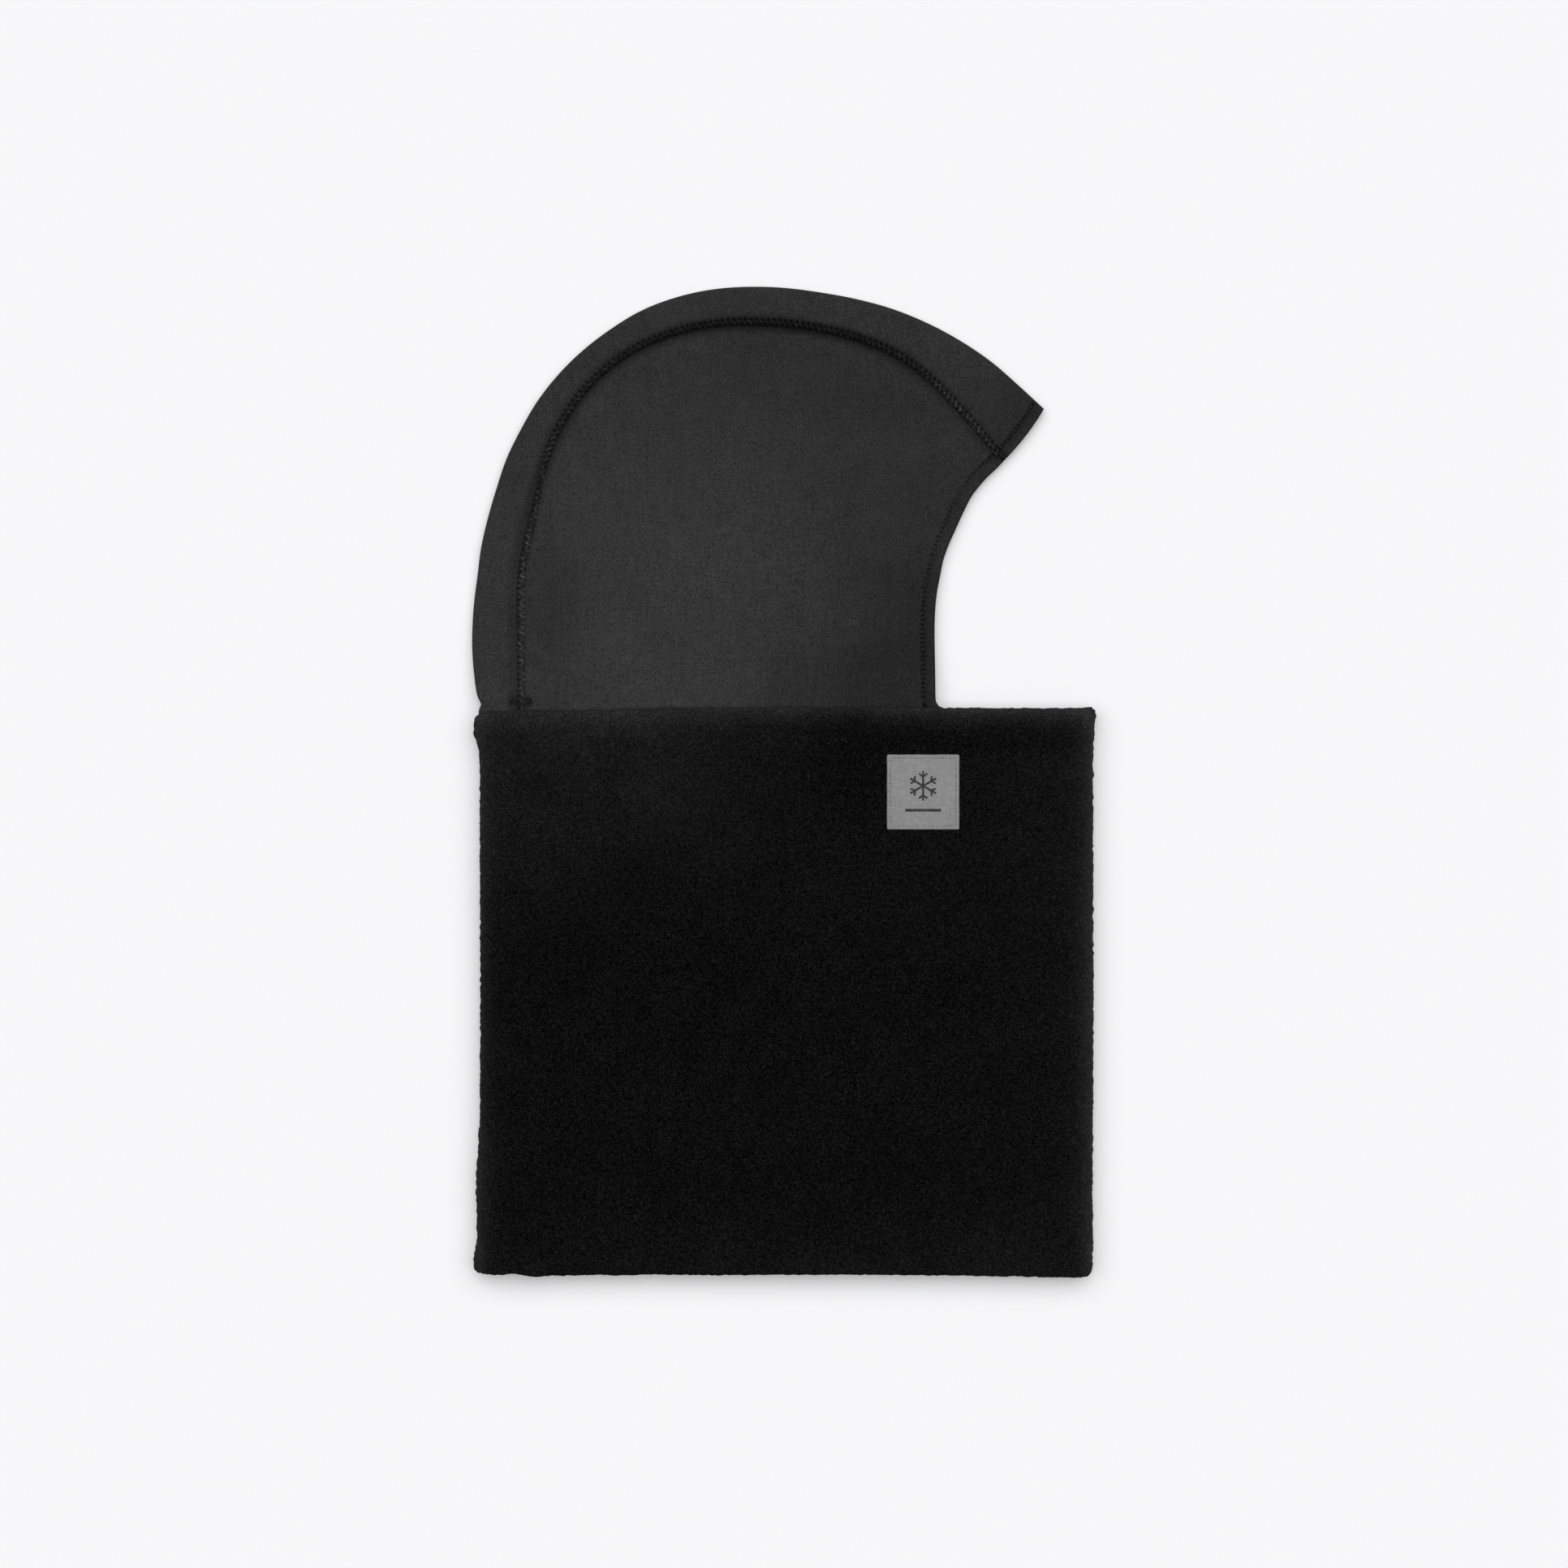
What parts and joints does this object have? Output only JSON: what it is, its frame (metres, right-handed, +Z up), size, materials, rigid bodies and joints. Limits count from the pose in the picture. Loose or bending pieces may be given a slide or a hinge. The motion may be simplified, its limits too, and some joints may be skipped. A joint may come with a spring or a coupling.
{
  "type": "balaclava",
  "caption": "Cold-weather balaclava laid flat: thin stretch-knit hood with a face opening, sewn into the top of a wide double-layer fleece neck tube with a square label.",
  "frame": {"origin": "centre of the flat-laid garment's footprint, on the surface it lies on", "axes": "+X from the back of the head to the face, +Y from the neck hem to the crown, +Z up off the surface"},
  "size_m": [0.2624, 0.4183, 0.017],
  "materials": {
    "fleece_outer": "black brushed fleece, matt",
    "fleece_lining": "black fleece lining, matt",
    "knit": "charcoal stretch jersey, matt",
    "thread": "black textured sewing thread",
    "label": "grey woven label",
    "label_thread": "grey sewing thread",
    "care_tape": "white satin tape, blank"
  },
  "bodies": {
    "neck_tube": {"outer_fleece": "fleece_outer", "lining_fleece": "fleece_lining", "outer_back_seam": "thread", "lining_back_seam": "thread", "mouth_seam": "thread", "hem_seam": "thread", "label_patch": "label", "label_stitching": "label_thread", "care_label": "care_tape"},
    "hood": {"near_side_panel": "knit", "far_side_panel": "knit", "centre_gusset": "knit", "near_flatlock_seam": "thread", "far_flatlock_seam": "thread", "near_hem_stitching": "thread", "far_hem_stitching": "thread", "near_seam_tack": "thread", "far_seam_tack": "thread"}
  },
  "joints": [
    {"name": "hood_fold", "type": "hinge", "parent": "neck_tube", "child": "hood", "pos_m": [0, 0.0315, 0.0123], "axis": [1, 0, 0], "range_deg": [0, 179]}
  ]
}
